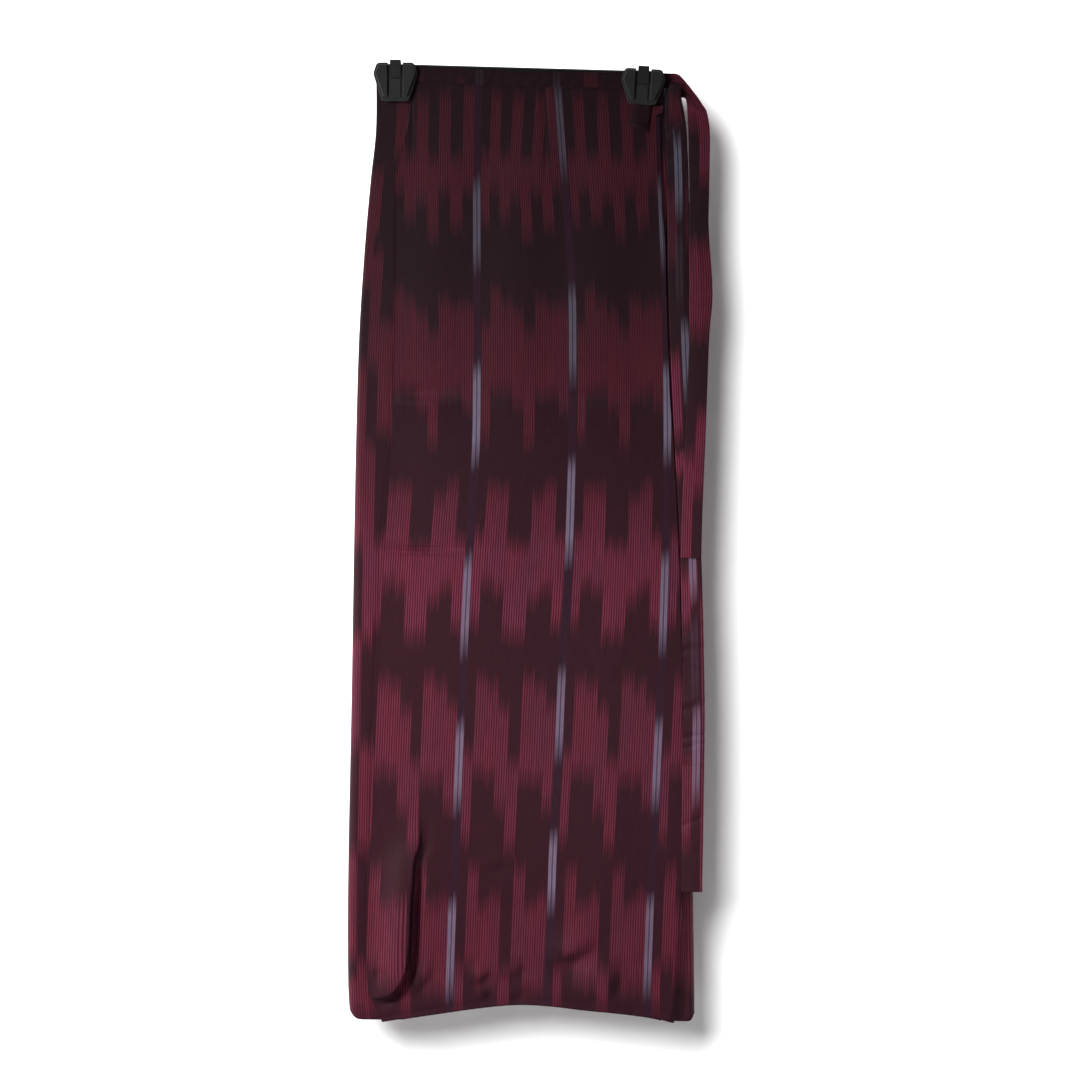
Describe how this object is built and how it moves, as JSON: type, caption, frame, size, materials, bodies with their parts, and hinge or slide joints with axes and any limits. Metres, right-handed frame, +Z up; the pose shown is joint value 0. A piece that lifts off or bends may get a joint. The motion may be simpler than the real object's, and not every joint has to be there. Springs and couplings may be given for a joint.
{
  "type": "wrap skirt on a two-clip hanger",
  "caption": "Long ikat satin wrap skirt with narrow waist ties, folded flat and hung by its waistband from a bar hanger with clips.",
  "frame": {"origin": "middle of the hanger bar's top edge, where the hanger is held", "axes": "+Z up, +X to the viewer's right across the skirt's front, +Y away from the viewer, through the skirt from front to back"},
  "size_m": [0.3467, 0.0374, 0.9142],
  "materials": {
    "ikat_satin": "warp-ikat satin, burgundy on near-black plum with blue-grey warp stripes, soft sheen",
    "bar_plastic": "matt black plastic",
    "clip_plastic": "satin charcoal moulded plastic",
    "strap_plastic": "satin dark grey spring strap"
  },
  "bodies": {
    "root": {"overlap_panel": "ikat_satin", "under_panel": "ikat_satin", "back_panel": "ikat_satin", "waistband": "ikat_satin", "tie_short": "ikat_satin", "tie_long": "ikat_satin", "tie_tail": "ikat_satin", "tail_fold": "ikat_satin", "hanger_bar": "bar_plastic", "clip_left_front": "clip_plastic", "clip_left_back": "clip_plastic", "clip_left_spring": "strap_plastic", "clip_right_front": "clip_plastic", "clip_right_back": "clip_plastic", "clip_right_spring": "strap_plastic"}
  },
  "joints": []
}
